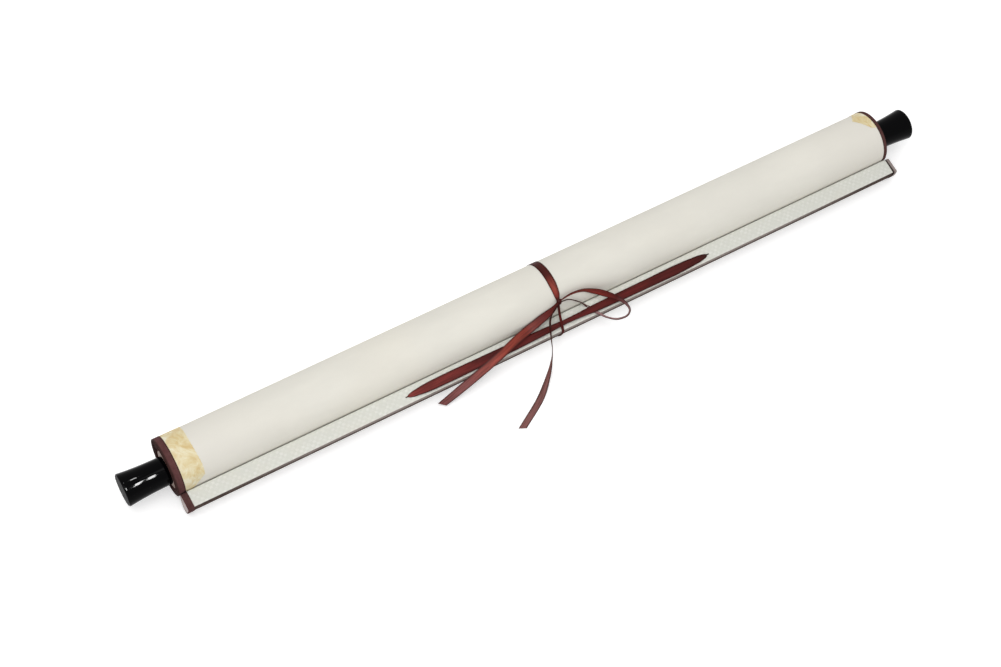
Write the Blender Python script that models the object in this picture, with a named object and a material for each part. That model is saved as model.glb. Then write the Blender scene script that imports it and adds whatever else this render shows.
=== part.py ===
"""A hanging scroll, rolled up and tied: the paper wound on its rod, a black knob on each end, the
lath of the top edge resting along the front, a ribbon on the lath and a ribbon tied round both.

Metres, +Z up. X runs along the roll, and the lath is on the -Y side. Cross-sections are worked out
in (y, z) about the middle of the roll, and seat_on_table moves the finished object to its frame."""

import math

import bmesh
import bpy
import numpy as np
from mathutils import Matrix, Vector

mm = 0.001

# The roll
roll_length = 623.0 * mm
roll_radius = 22.4 * mm
sheet_thickness = 0.4 * mm
binding_thickness = 0.48 * mm
turn_gap = 0.22 * mm
turns = 9
segments_per_turn = 48
flat_half_angle = math.radians(7.5)  # the soft roll lies on a flat this wide, seen from its middle
sag_share = 0.65  # how much of the slack between the turns the weight of the rod takes up
sag_direction = Vector((-0.45, -0.89))

# Cloth bound over the two side edges of the sheet, so it is wound with it
left_binding_width = 5.5 * mm
right_binding_width = 2.9 * mm

# Silk at the corners of the sheet
patch_thickness = 0.14 * mm
patch_lift = 0.06 * mm
left_patch_width = 15.0 * mm
left_patch_from = 18  # degrees about the roll, from the back at mid-height over the top
left_patch_to = 199
# (angle in degrees, width in mm) down the right patch, whose lower edge is cut slanting
right_patch_cut = ((18, 4.0), (48, 6.5), (73, 13.0), (106, 4.5), (111, 0.8))

# The rod and its knobs
rod_clearance = 0.25 * mm
rod_play = 0.6 * mm
rod_over = 1.0 * mm  # how far the rod's ends pass the roll's
rod_edge = 0.4 * mm
knob_length = 33.6 * mm
knob_radius = 12.6 * mm
neck_radius = 10.8 * mm
knob_edge = 0.7 * mm
spigot_radius = 5.5 * mm
spigot_length = 16.0 * mm
spigot_clearance = 0.2 * mm
bore_spare = 1.0 * mm  # the room beyond the spigot at the bottom of its bore

# The lath: a half-round rod, its flat face up and leaning forward
lath_width = 11.6 * mm
lath_shoulder = 1.5 * mm
lath_corner = 0.5 * mm
lath_lean = math.radians(15)
lath_contact = math.radians(196.0)  # where its top inner corner meets the roll
lath_left_short = 0.6 * mm  # how far its left end stops short of the roll's
lath_right_over = 2.6 * mm  # how far its right end passes the roll's
lath_cloth = 0.4 * mm
layer_gap = 0.15 * mm
left_wrap_width = 5.0 * mm
right_wrap_width = 3.6 * mm
edge_cloth_lip = 0.1 * mm
# The sheet is pasted round the lath's back between these angles, measured from the side towards
# the roll, and the edge cloth comes round from the front to just short of it
pasted_from = math.radians(91)
pasted_to = math.radians(125)
edge_cloth_short = math.radians(4)

# The ribbons
ribbon_width = 6.0 * mm
ribbon_thickness = 0.2 * mm
ribbon_gap = 0.1 * mm
ribbon_off_table = 0.05 * mm
hanger_left = -132.6 * mm
hanger_right = 133.5 * mm
hanger_rise = 1.9 * mm
hanger_off_middle = 0.5 * mm

# What follows from them
under_ribbon = ribbon_gap + ribbon_thickness + ribbon_off_table
turn_pitch = max(sheet_thickness, binding_thickness) + turn_gap
wound_depth = turns * turn_pitch
turns_sag = sag_direction * turns * turn_gap * sag_share
binding_radius = roll_radius + under_ribbon
rest_level = -binding_radius * math.cos(flat_half_angle)
core_radius = roll_radius - wound_depth - sheet_thickness
rod_radius = core_radius - rod_clearance - rod_play
rod_middle = turns_sag + sag_direction * rod_play
face_half = lath_width / 2
lath_wrap = sheet_thickness + under_ribbon
layer = layer_gap + lath_cloth
wrap_layer = layer_gap + lath_wrap
along_face = Vector((math.cos(lath_lean), math.sin(lath_lean)))
into_lath = Vector((math.sin(lath_lean), -math.cos(lath_lean)))
corner_reach = binding_radius + lath_corner + wrap_layer + layer_gap
round_centre = Vector((math.cos(lath_contact), math.sin(lath_contact))) * corner_reach
face_middle = round_centre - along_face * (face_half - lath_corner) - into_lath * lath_corner
round_drop = face_middle.y + into_lath.y * lath_shoulder - (rest_level + wrap_layer)
lath_back = math.sqrt(round_drop**2 - (face_half * along_face.y) ** 2) / -into_lath.y


def clear_scene():
    for old in list(bpy.data.objects):
        bpy.data.objects.remove(old)


def principled(name, colour, roughness, metallic=0.0):
    material = bpy.data.materials.new(name)
    material.use_nodes = True
    shader = material.node_tree.nodes["Principled BSDF"]
    shader.inputs["Base Color"].default_value = (*colour, 1.0)
    shader.inputs["Roughness"].default_value = roughness
    shader.inputs["Metallic"].default_value = metallic
    return material


def add_object(name, mesh_maker, material):
    """A new object whose mesh is the one that mesh_maker has built."""
    mesh = bpy.data.meshes.new(name)
    mesh_maker.to_mesh(mesh)
    mesh_maker.free()
    mesh.materials.append(material)
    made = bpy.data.objects.new(name, mesh)
    bpy.context.scene.collection.objects.link(made)
    return made


def strip_mesh(left_edge, right_edge, closed=False):
    """A one-face-wide band between two rows of points."""
    maker = bmesh.new()
    rows = [
        (maker.verts.new(a), maker.verts.new(b)) for a, b in zip(left_edge, right_edge)
    ]
    ahead = rows[1:] + rows[:1] if closed else rows[1:]
    for (a, b), (c, d) in zip(rows, ahead):
        maker.faces.new((a, b, d, c))
    return maker


def thicken(made, thickness):
    modifier = made.modifiers.new("thickness", "SOLIDIFY")
    modifier.thickness = thickness
    modifier.offset = 0.0
    modifier.use_even_offset = True
    return modifier


def section_strip(name, section, x_from, x_to, thickness, material, closed=False):
    """A sheet of this thickness whose middle follows a (y, z) section, from x_from to x_to."""
    left = [Vector((x_from, y, z)) for y, z in section]
    right = [Vector((x_to, y, z)) for y, z in section]
    made = add_object(name, strip_mesh(left, right, closed), material)
    thicken(made, thickness)
    return made


def wound_point(turned_by, outer_radius, thickness):
    """The middle of the sheet, wound by this much from its outer end at the bottom of the roll. Each
    turn sags on the one inside it, by its share, and has the flat that the roll lies on."""
    share = turned_by / (turns * math.tau)
    angle = turned_by - math.pi / 2
    radius = outer_radius - thickness / 2 - share * wound_depth
    height = max(math.sin(angle), -math.cos(flat_half_angle))
    return Vector((radius * math.cos(angle), radius * height)) + turns_sag * share


def wound_section(outer_radius, thickness, most_turns=turns):
    steps = range(most_turns * segments_per_turn + 1)
    step = math.tau / segments_per_turn
    return [wound_point(i * step, outer_radius, thickness) for i in steps]


def in_lath(across, depth):
    """The (y, z) of a point this far across the lath's face, towards the roll, and this deep."""
    return face_middle + along_face * across + into_lath * depth


def corner_arc(side, out, steps=5):
    """Round the face's edge on one side (1 towards the roll, -1 away from it), face to shoulder."""
    found = []
    for step in range(steps + 1):
        turn = math.pi / 2 * step / steps
        across = side * (face_half - lath_corner + (lath_corner + out) * math.sin(turn))
        found.append(in_lath(across, lath_corner - (lath_corner + out) * math.cos(turn)))
    return found


def back_arc(start, end, out, steps):
    """Round the lath's back, between angles measured from the side towards the roll."""
    found = []
    for step in range(steps + 1):
        angle = start + (end - start) * step / steps
        normal = Vector((lath_back * math.cos(angle), face_half * math.sin(angle))).normalized()
        across = face_half * math.cos(angle) + normal.x * out
        depth = lath_shoulder + lath_back * math.sin(angle) + normal.y * out
        found.append(in_lath(across, depth))
    return found


def lath_outline(out, steps=20):
    """The whole section of the lath, this far outside its wood."""
    inner = corner_arc(1, out)
    outer = corner_arc(-1, out)
    return inner + back_arc(0, math.pi, out, steps) + outer[::-1]


def bar(name, section, x_from, x_to, material):
    """A solid bar of a convex (y, z) section, with a flat end face at each end."""
    maker = bmesh.new()
    face = maker.faces.new([maker.verts.new((x_from, y, z)) for y, z in section])
    pushed = bmesh.ops.extrude_face_region(maker, geom=[face])["geom"]
    moved = [item for item in pushed if isinstance(item, bmesh.types.BMVert)]
    bmesh.ops.translate(maker, verts=moved, vec=(x_to - x_from, 0, 0))
    bmesh.ops.recalc_face_normals(maker, faces=maker.faces)
    return add_object(name, maker, material)


def turned(name, profile, middle, material, segments=48):
    """A solid of revolution about a line along X. The profile is (x, radius) and ends on the axis."""
    maker = bmesh.new()
    points = [maker.verts.new((x, middle.x, middle.y + radius)) for x, radius in profile]
    edges = [maker.edges.new(pair) for pair in zip(points, points[1:])]
    bmesh.ops.spin(
        maker,
        geom=points + edges,
        cent=(0, middle.x, middle.y),
        axis=(1, 0, 0),
        angle=math.tau,
        steps=segments,
        use_merge=True,
    )
    bmesh.ops.remove_doubles(maker, verts=maker.verts, dist=1e-6)
    bmesh.ops.recalc_face_normals(maker, faces=maker.faces)
    return add_object(name, maker, material)


def make_rod(middle, material):
    """The rod, with a blind bore in each end for a knob's spigot."""
    end = roll_length / 2 + rod_over
    bore_radius = spigot_radius + spigot_clearance
    half = [(0, rod_radius), (end - rod_edge, rod_radius), (end, rod_radius - rod_edge)]
    half += [(end, bore_radius), (end - spigot_length, bore_radius), (end - spigot_length, 0)]
    profile = [(-x, radius) for x, radius in half[:0:-1]] + half[1:]
    return turned("roller_rod", profile, middle, material)


def make_knob(name, side, middle, material):
    """A knob that flares towards its end, on a spigot that plugs into the rod."""
    foot = roll_length / 2 + rod_over + spigot_clearance
    tip = roll_length / 2 + knob_length
    inner = roll_length / 2 + rod_over - spigot_length + bore_spare
    profile = [(inner, 0), (inner, spigot_radius)]
    profile += [(foot, spigot_radius), (foot, neck_radius)]
    flare_steps = 9
    for step in range(1, flare_steps + 1):
        share = step / flare_steps
        x = foot + (tip - knob_edge - foot) * share
        profile.append((x, neck_radius + (knob_radius - neck_radius) * share**2.2))
    for step in range(1, 5):
        turn = math.pi / 2 * step / 4
        x = tip - knob_edge * (1 - math.sin(turn))
        profile.append((x, knob_radius - knob_edge * (1 - math.cos(turn))))
    profile.append((tip, 0))
    return turned(name, [(side * x, radius) for x, radius in profile], middle, material)


def make_sheet(material):
    """The paper as one piece: its turns, then the last of it running forward under the lath, where
    it is pasted round the back."""
    wound = wound_section(roll_radius, sheet_thickness)
    pasted = back_arc(pasted_from, pasted_to, layer_gap + sheet_thickness / 2, 6)
    start, meet = wound[0], pasted[0]
    span = [start.lerp(meet, step / 6) for step in range(1, 6)]
    section = pasted[::-1] + span[::-1] + wound
    x_from = -roll_length / 2 + left_binding_width + layer_gap
    x_to = roll_length / 2 - right_binding_width - layer_gap
    return section_strip("mount_sheet", section, x_from, x_to, sheet_thickness, material)


def make_bindings(material):
    section = wound_section(binding_radius, binding_thickness)
    end = roll_length / 2
    left_to = -end + left_binding_width
    right_from = end - right_binding_width
    section_strip("left_edge_binding", section, -end, left_to, binding_thickness, material)
    section_strip("right_edge_binding", section, right_from, end, binding_thickness, material)


def make_patch(name, x_edge, side, widths, material):
    """Thin silk on the outer turn, from x_edge towards this side, with its width at each angle. What
    is beyond sight round the back ends just past it."""
    given, given_widths = zip(*widths)
    near, far = [], []
    for angle in np.arange(given[0], given[-1] + 0.01, 4.0):
        turned_by = math.radians(angle) + math.pi / 2
        outer_radius = roll_radius + patch_lift + patch_thickness
        y, z = wound_point(turned_by, outer_radius, patch_thickness)
        width = float(np.interp(angle, given, given_widths)) * mm
        near.append(Vector((x_edge, y, z)))
        far.append(Vector((x_edge + side * width, y, z)))
    thicken(add_object(name, strip_mesh(near, far), material), patch_thickness)


def make_patches(material):
    end = roll_length / 2
    left_width = left_patch_width / mm
    left_cut = ((left_patch_from, left_width), (left_patch_to, left_width))
    left_edge = -end + left_binding_width + layer_gap
    make_patch("left_gold_patch", left_edge, 1, left_cut, material)
    right_edge = end - right_binding_width - layer_gap
    make_patch("right_gold_patch", right_edge, -1, right_patch_cut, material)


def make_lath(wood, damask, cloth):
    x_from = -roll_length / 2 + lath_left_short
    x_to = roll_length / 2 + lath_right_over
    bar("lath_core", lath_outline(0), x_from, x_to, wood)
    inside_from = x_from + left_wrap_width + layer_gap
    inside_to = x_to - right_wrap_width - layer_gap
    out = layer_gap + lath_cloth / 2
    lip = -face_half + lath_corner + edge_cloth_lip
    facing = [in_lath(lip + layer_gap, -out)] + corner_arc(1, out)
    facing.append(in_lath(face_half + out, lath_shoulder))
    section_strip("lath_facing", facing, inside_from, inside_to, lath_cloth, damask)
    edge = [in_lath(lip, -out)] + corner_arc(-1, out)
    edge += back_arc(math.pi, pasted_to + edge_cloth_short, out, 6)
    section_strip("lath_edge_cloth", edge, inside_from, inside_to, lath_cloth, cloth)
    sleeve = lath_outline(layer_gap + lath_wrap / 2)
    left_to = x_from + left_wrap_width
    right_from = x_to - right_wrap_width
    section_strip("left_lath_wrap", sleeve, x_from, left_to, lath_wrap, cloth, closed=True)
    section_strip("right_lath_wrap", sleeve, right_from, x_to, lath_wrap, cloth, closed=True)


def smooth(rows, per_span):
    """Rows of numbers drawn out into a Catmull-Rom curve through all of them."""
    rows = np.array(rows, float)
    padded = np.vstack([2 * rows[0] - rows[1], rows, 2 * rows[-1] - rows[-2]])
    found = []
    for i in range(1, len(padded) - 2):
        a, b, c, d = padded[i - 1 : i + 3]
        for step in range(per_span):
            t = step / per_span
            found.append(
                b
                + 0.5 * t * (c - a)
                + t * t * (a - 2.5 * b + 2 * c - 0.5 * d)
                + t**3 * (1.5 * b - 0.5 * a - 1.5 * c + 0.5 * d)
            )
    found.append(rows[-1])
    return np.array(found)


def hull(points):
    """The convex outline of (y, z) points, anticlockwise."""
    ordered = sorted((point.x, point.y) for point in points)
    chains = []
    for run in (ordered, ordered[::-1]):
        chain = []
        for point in run:
            while len(chain) > 1:
                (ay, az), (by, bz) = chain[-2:]
                if (by - ay) * (point[1] - az) - (bz - az) * (point[0] - ay) > 0:
                    break
                chain.pop()
            chain.append(point)
        chains += chain[:-1]
    return [Vector(point) for point in chains]


def tie_section():
    """The tie's path round roll and lath, pulled straight from one to the other."""
    out = ribbon_gap + ribbon_thickness / 2
    roll = wound_section(roll_radius + out + 0.02 * mm, 0, 1)
    corners = hull(roll + lath_outline(layer + out, 40))
    found = []
    for here, ahead in zip(corners, corners[1:] + corners[:1]):
        pieces = max(1, round((ahead - here).length / (2.5 * mm)))
        found += [here.lerp(ahead, i / pieces) for i in range(pieces)]
    return found


def keep_out(point, half):
    """The point, moved out of the roll, the lath and the table by half a thickness and a gap."""
    x, y, z = point
    clear = roll_radius + half + ribbon_gap * 1.5
    reach = math.hypot(y, z)
    if reach < clear:
        y, z = y * clear / reach, z * clear / reach
    here = Vector((y, z)) - face_middle
    across, depth = here.dot(along_face), here.dot(into_lath)
    margin = layer + half + ribbon_gap
    if abs(across) < face_half + margin and -margin < depth < lath_shoulder + lath_back / 2:
        if depth < face_half:
            depth = -margin
        else:
            across = -face_half - margin
        moved = in_lath(across, depth)
        y, z = moved.x, moved.y
    return Vector((x, y, max(z, rest_level + half + ribbon_gap / 2)))


def ribbon(name, rows, material, per_span=4, thickness=ribbon_thickness):
    """A flat ribbon. Each row is a point (x, y, z) in mm about the roll's middle, how far the ribbon
    is turned about its own length from facing forward and up, and its width as a share of
    ribbon_width."""
    path = smooth(rows, per_span)
    left, right = [], []
    for i, (x, y, z, turn, share) in enumerate(path):
        ahead = path[min(i + 1, len(path) - 1), :3]
        behind = path[max(i - 1, 0), :3]
        along = Vector(ahead - behind).normalized()
        across = Matrix.Rotation(math.radians(turn), 3, along) @ along.cross(forward_and_up)
        middle = Vector((x, y, z)) * mm
        half = across.normalized() * ribbon_width * share / 2
        left.append(keep_out(middle - half, thickness / 2))
        right.append(keep_out(middle + half, thickness / 2))
    made = add_object(name, strip_mesh(left, right), material)
    thicken(made, thickness)
    return made


# The tie. Its turn round roll and lath is pulled narrow at the knot, as (angle about the roll's
# middle, x in mm, width as a share of ribbon_width). Its loose parts are rows for ribbon.
forward_and_up = Vector((-0.31, -0.52, 0.79))
tie_course = (
    (0, 3.0, 0.95),
    (120, 3.2, 0.92),
    (142, 3.2, 0.7),
    (155, 2.9, 0.35),
    (175, 1.6, 0.3),
    (196, -0.6, 0.4),
    (215, -1.0, 0.8),
    (250, 0.5, 0.95),
    (300, 3.0, 0.95),
)
tail_left = (
    (3.3, -21.9, 10.5, 60, 0.4),
    (-4.8, -22.8, 7.4, 40, 0.7),
    (-14.6, -24.0, 3.5, 10, 1.0),
    (-24.7, -25.6, -0.5, 0, 1.0),
    (-36.2, -28.5, -1.8, 0, 1.0),
    (-59.6, -36.0, -4.6, 0, 1.0),
    (-87.2, -38.8, -13.0, 5, 1.0),
    (-106.5, -39.8, -20.0, 10, 1.0),
)
tail_front = (
    (2.7, -22.1, 9.7, 60, 0.35),
    (-3.8, -24.9, 6.8, 70, 0.5),
    (-8.1, -27.7, 3.0, 75, 0.7),
    (-10.9, -31.8, -1.0, 78, 0.9),
    (-14.2, -38.9, -5.0, 82, 1.0),
    (-16.9, -45.2, -11.0, 88, 1.0),
    (-21.1, -50.6, -15.5, 75, 1.0),
    (-29.6, -59.1, -19.5, 45, 1.0),
    (-45.2, -72.4, -21.7, 8, 1.0),
    (-69.8, -87.7, -22.3, 0, 1.0),
)
loop = (
    (2.9, -22.2, 11.2, 75, 0.3),
    (13.5, -21.5, 12.0, 68, 0.55),
    (23.5, -22.5, 11.0, 72, 0.7),
    (31.8, -25.1, 7.5, 58, 0.85),
    (39.0, -28.2, 3.5, 35, 1.0),
    (45.1, -32.8, 0.5, 20, 1.0),
    (49.8, -38.9, -1.5, 45, 0.9),
    (50.6, -46.3, -3.0, 78, 0.8),
    (46.2, -49.9, -4.5, 88, 0.7),
    (38.9, -48.2, -5.8, 80, 0.6),
    (33.2, -42.5, -6.4, 70, 0.5),
    (30.0, -35.0, -7.2, 40, 0.45),
    (27.5, -28.8, -7.8, 30, 0.45),
    (25.3, -25.5, -6.0, 45, 0.45),
    (21.1, -23.8, -1.0, 75, 0.45),
    (15.3, -23.6, 5.0, 80, 0.45),
    (10.0, -23.0, 8.8, 80, 0.4),
    (3.1, -22.3, 9.2, 75, 0.3),
)
knot_middle = Vector((2.9, -21.9, 10.0)) * mm
knot_size = Vector((4.6, 3.2, 4.8)) * mm


def make_knot(material):
    """The drawn-up turns of the knot, as a pebble leaning back on the roll."""
    maker = bmesh.new()
    bmesh.ops.create_uvsphere(maker, u_segments=16, v_segments=10, radius=0.5)
    lean = Matrix.Rotation(math.radians(-25), 4, "X")
    place = Matrix.Translation(knot_middle) @ lean @ Matrix.Diagonal((*knot_size, 1))
    bmesh.ops.transform(maker, matrix=place, verts=maker.verts)
    for vert in maker.verts:
        vert.co = keep_out(vert.co, ribbon_thickness / 2)
    return add_object("knot", maker, material)


def make_tie(material):
    """One solid: the turn round roll and lath, the knot, the loop and the two tails."""
    given, given_x, given_shares = zip(*tie_course)
    left, right = [], []
    for y, z in tie_section():
        angle = math.degrees(math.atan2(z, y)) % 360
        x = float(np.interp(angle, given, given_x)) * mm
        half = float(np.interp(angle, given, given_shares)) * ribbon_width / 2
        left.append(Vector((x - half, y, z)))
        right.append(Vector((x + half, y, z)))
    tie = add_object("tie_ribbon", strip_mesh(left, right, closed=True), material)
    thicken(tie, ribbon_thickness)
    others = [
        make_knot(material),
        ribbon("tie_tail_left", tail_left, material),
        ribbon("tie_tail_front", tail_front, material),
        ribbon("tie_loop", loop, material, per_span=3),
    ]
    for other in others:
        other.hide_render = True
        other.display_type = "WIRE"
        modifier = tie.modifiers.new("join " + other.name, "BOOLEAN")
        modifier.operation = "UNION"
        modifier.solver = "EXACT"
        modifier.object = other
    return tie


def make_hanger(material):
    """The flat ribbon by which the scroll hangs, along the lath's face. It narrows to a point where
    it is sewn down at each end, and again under the tie."""
    narrowed = ((0, 0.2), (0.04, 0.45), (0.14, 0.9), (0.25, 1.1), (0.42, 0.8), (0.5, 0.62))
    given, given_shares = zip(*narrowed)
    low = layer + ribbon_gap + ribbon_thickness / 2
    left, right = [], []
    for share in np.linspace(0, 1, 41):
        from_end = min(share, 1 - share)
        lift = low + hanger_rise * math.sin(math.pi * min(1.0, from_end * 6) / 2)
        half = ribbon_width * float(np.interp(from_end, given, given_shares)) / 2
        x = hanger_left + (hanger_right - hanger_left) * share
        left.append(Vector((x, *in_lath(-half - hanger_off_middle, -lift))))
        right.append(Vector((x, *in_lath(half - hanger_off_middle, -lift))))
    made = add_object("hanging_ribbon", strip_mesh(left, right), material)
    thicken(made, ribbon_thickness)
    return made


def seat_on_table(loose):
    """Moves everything so that the object, without its loose ribbons, stands on z = 0 with the
    middle of its box over the origin."""
    bpy.context.view_layer.update()
    graph = bpy.context.evaluated_depsgraph_get()
    meshes = [thing for thing in bpy.context.scene.objects if thing.type == "MESH"]
    corners = []
    for thing in meshes:
        if thing.hide_render or thing.name in loose:
            continue
        corners += [Vector(corner) for corner in thing.evaluated_get(graph).bound_box]
    low = [min(corner[axis] for corner in corners) for axis in range(3)]
    high = [max(corner[axis] for corner in corners) for axis in range(3)]
    shift = Vector((-(low[0] + high[0]) / 2, -(low[1] + high[1]) / 2, -low[2]))
    for thing in meshes:
        thing.data.transform(Matrix.Translation(shift))
    print("seated by", [round(value / mm, 3) for value in shift])


clear_scene()
paper = principled("paper", (0.80, 0.77, 0.68), 0.75)
binding_cloth = principled("binding_cloth", (0.09, 0.028, 0.022), 0.8)
gold_silk = principled("gold_silk", (0.72, 0.58, 0.30), 0.5)
rod_wood = principled("rod_wood", (0.50, 0.36, 0.22), 0.6)
black_lacquer = principled("black_lacquer", (0.006, 0.006, 0.007), 0.12)
lath_wood = principled("lath_wood", (0.55, 0.47, 0.36), 0.6)
damask = principled("damask", (0.72, 0.74, 0.66), 0.6)
ribbon_silk = principled("ribbon_silk", (0.24, 0.035, 0.028), 0.45)

make_rod(rod_middle, rod_wood)
make_knob("left_knob", -1, rod_middle, black_lacquer)
make_knob("right_knob", 1, rod_middle, black_lacquer)
make_sheet(paper)
make_bindings(binding_cloth)
make_patches(gold_silk)
make_lath(lath_wood, damask, binding_cloth)
make_hanger(ribbon_silk)
make_tie(ribbon_silk)
seat_on_table(("tie_ribbon", "hanging_ribbon"))
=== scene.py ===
import math

import bmesh
import bpy
import numpy as np
from mathutils import Matrix, Vector


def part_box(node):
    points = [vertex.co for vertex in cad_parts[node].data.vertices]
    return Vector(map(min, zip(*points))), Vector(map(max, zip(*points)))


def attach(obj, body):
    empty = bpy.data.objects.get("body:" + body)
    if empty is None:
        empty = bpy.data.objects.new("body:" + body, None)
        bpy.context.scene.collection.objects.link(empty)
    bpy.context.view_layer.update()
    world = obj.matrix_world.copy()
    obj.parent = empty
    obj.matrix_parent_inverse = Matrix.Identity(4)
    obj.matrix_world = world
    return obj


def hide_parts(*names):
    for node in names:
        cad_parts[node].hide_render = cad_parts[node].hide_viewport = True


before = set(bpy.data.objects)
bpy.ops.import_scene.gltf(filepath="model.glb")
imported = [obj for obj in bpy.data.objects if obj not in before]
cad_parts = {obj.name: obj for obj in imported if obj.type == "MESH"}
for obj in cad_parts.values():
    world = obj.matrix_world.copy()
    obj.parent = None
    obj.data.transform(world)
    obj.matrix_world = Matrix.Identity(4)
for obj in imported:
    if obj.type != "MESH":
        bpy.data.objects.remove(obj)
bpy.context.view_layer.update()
mm = 0.001
print("frame loaded,", len(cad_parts), "nodes")


# Camera, at the photograph's angle

view = {
    "azimuth": -30.84,
    "elevation": 52.49,
    "distance": 1.453,
    "target": Vector((-0.0463, -0.0125, 0.0226)),
    "lens": 70.2,
    "sensor": 36.0,
}


def makeCamera():
    azimuth = math.radians(view["azimuth"])
    elevation = math.radians(view["elevation"])
    level = math.cos(elevation)
    back = Vector((math.sin(azimuth) * level, -math.cos(azimuth) * level, math.sin(elevation)))
    data = bpy.data.cameras.new("camera")
    data.lens = view["lens"]
    data.sensor_width = view["sensor"]
    camera = bpy.data.objects.new("camera", data)
    bpy.context.scene.collection.objects.link(camera)
    camera.location = view["target"] + back * view["distance"]
    camera.rotation_euler = (-back).to_track_quat("-Z", "Y").to_euler()
    bpy.context.scene.camera = camera


makeCamera()


# The roll's section, in (y, z) about its middle, wound as the solids are

roll = {
    "radius": 22.4 * mm,
    "paper": 0.4 * mm,
    "binding": 0.48 * mm,
    "bindingProud": 0.35 * mm,  # how far the binding stands above the paper
    "turnGap": 0.22 * mm,
    "turns": 9,
    "flatHalf": math.radians(7.5),
    "sagShare": 0.65,
    "sagDirection": Vector((-0.45, -0.89)),
    "segments": 96,
    "drift": 0.35 * mm,  # how unevenly the edges of the turns lie at the roll's ends
    "flap": (math.radians(91), math.radians(125)),  # where the free end is pasted, on the lath's back
    "flapSteps": 8,
    "closer": 0.12 * mm,  # closes most of the gap that the solids keep beside the bindings
    "bindingEdge": 0.14 * mm,
}
bindingRadius = roll["radius"] + roll["bindingProud"]
woundDepth = roll["turns"] * (roll["binding"] + roll["turnGap"])
turnsSag = roll["sagDirection"] * roll["turns"] * roll["turnGap"] * roll["sagShare"]
restLevel = -bindingRadius * math.cos(roll["flatHalf"])


def woundPoint(turnedBy, outerRadius, thickness):
    share = turnedBy / (roll["turns"] * math.tau)
    angle = turnedBy - math.pi / 2
    radius = outerRadius - thickness / 2 - share * woundDepth
    height = max(math.sin(angle), -math.cos(roll["flatHalf"]))
    return Vector((radius * math.cos(angle), radius * height)) + turnsSag * share


def woundSection(outerRadius, thickness, turns, segments):
    step = math.tau / segments
    return [woundPoint(i * step, outerRadius, thickness) for i in range(turns * segments + 1)]


def findMiddle():
    # the roll's middle line, from where its left binding lies in the frame
    low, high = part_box("left_edge_binding")
    back = woundPoint(math.pi / 2, bindingRadius, 0).x
    return Vector((0.0, high.y - back, low.z - restLevel))


middle = findMiddle()
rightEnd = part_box("right_edge_binding")[1].x
print("roll's middle at", [round(v / mm, 2) for v in middle], "mm")


# The lath's section: a half-round whose flat face is up and leans forward

lath = {
    "half": 5.8 * mm,
    "shoulder": 1.5 * mm,
    "corner": 0.5 * mm,
    "lean": math.radians(15),
    "contact": math.radians(196),
    "cloth": 0.4 * mm,
    "gap": 0.15 * mm,
    "wrap": 0.75 * mm,
    "proud": 0.66 * mm,  # how far the facing bulges where it lies against the roll
    "seam": 8,  # of the 16 steps round the front corner, where facing and edge cloth meet
    "edgeClothTo": math.radians(129),  # where the edge cloth ends, on the lath's back
    "clothEdge": 0.1 * mm,
    "wrapEdge": 0.22 * mm,
    "treeMiddle": (0.6 * mm, 14 * mm),  # of the growth rings, across the lath's face and into it
}
alongFace = Vector((math.cos(lath["lean"]), math.sin(lath["lean"])))
intoLath = Vector((math.sin(lath["lean"]), -math.cos(lath["lean"])))
layer = lath["gap"] + lath["cloth"]
wrapLayer = lath["gap"] + lath["wrap"]
cornerReach = bindingRadius + lath["corner"] + wrapLayer + lath["gap"]
roundCentre = Vector((math.cos(lath["contact"]), math.sin(lath["contact"]))) * cornerReach
faceMiddle = roundCentre - alongFace * (lath["half"] - lath["corner"]) - intoLath * lath["corner"]
roundDrop = faceMiddle.y + intoLath.y * lath["shoulder"] - (restLevel + wrapLayer)
lathBack = math.sqrt(roundDrop**2 - (lath["half"] * alongFace.y) ** 2) / -intoLath.y


def inLath(across, depth):
    return faceMiddle + alongFace * across + intoLath * depth


def cornerArc(side, out, steps=8):
    found = []
    for step in range(steps + 1):
        turn = math.pi / 2 * step / steps
        reach = lath["corner"] + out
        across = side * (lath["half"] - lath["corner"] + reach * math.sin(turn))
        found.append(inLath(across, lath["corner"] - reach * math.cos(turn)))
    return found


def backArc(start, end, out, steps):
    found = []
    for step in range(steps + 1):
        angle = start + (end - start) * step / steps
        normal = Vector((lathBack * math.cos(angle), lath["half"] * math.sin(angle))).normalized()
        across = lath["half"] * math.cos(angle) + normal.x * out
        depth = lath["shoulder"] + lathBack * math.sin(angle) + normal.y * out
        found.append(inLath(across, depth))
    return found


def lathOutline(out, steps=40):
    return cornerArc(1, out) + backArc(0, math.pi, out, steps) + cornerArc(-1, out)[::-1]


# Materials: a wire is a socket that can be reckoned with, and a recipe builds one material


class Wire:
    def __init__(self, recipe, socket):
        self.recipe = recipe
        self.socket = socket

    def reckon(self, operation, first, second):
        return self.recipe.node("Math", {"operation": operation}, {0: first, 1: second})

    def __add__(self, other):
        return self.reckon("ADD", self, other)

    def __sub__(self, other):
        return self.reckon("SUBTRACT", self, other)

    def __mul__(self, other):
        return self.reckon("MULTIPLY", self, other)

    def __rmul__(self, other):
        return self.reckon("MULTIPLY", other, self)


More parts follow.
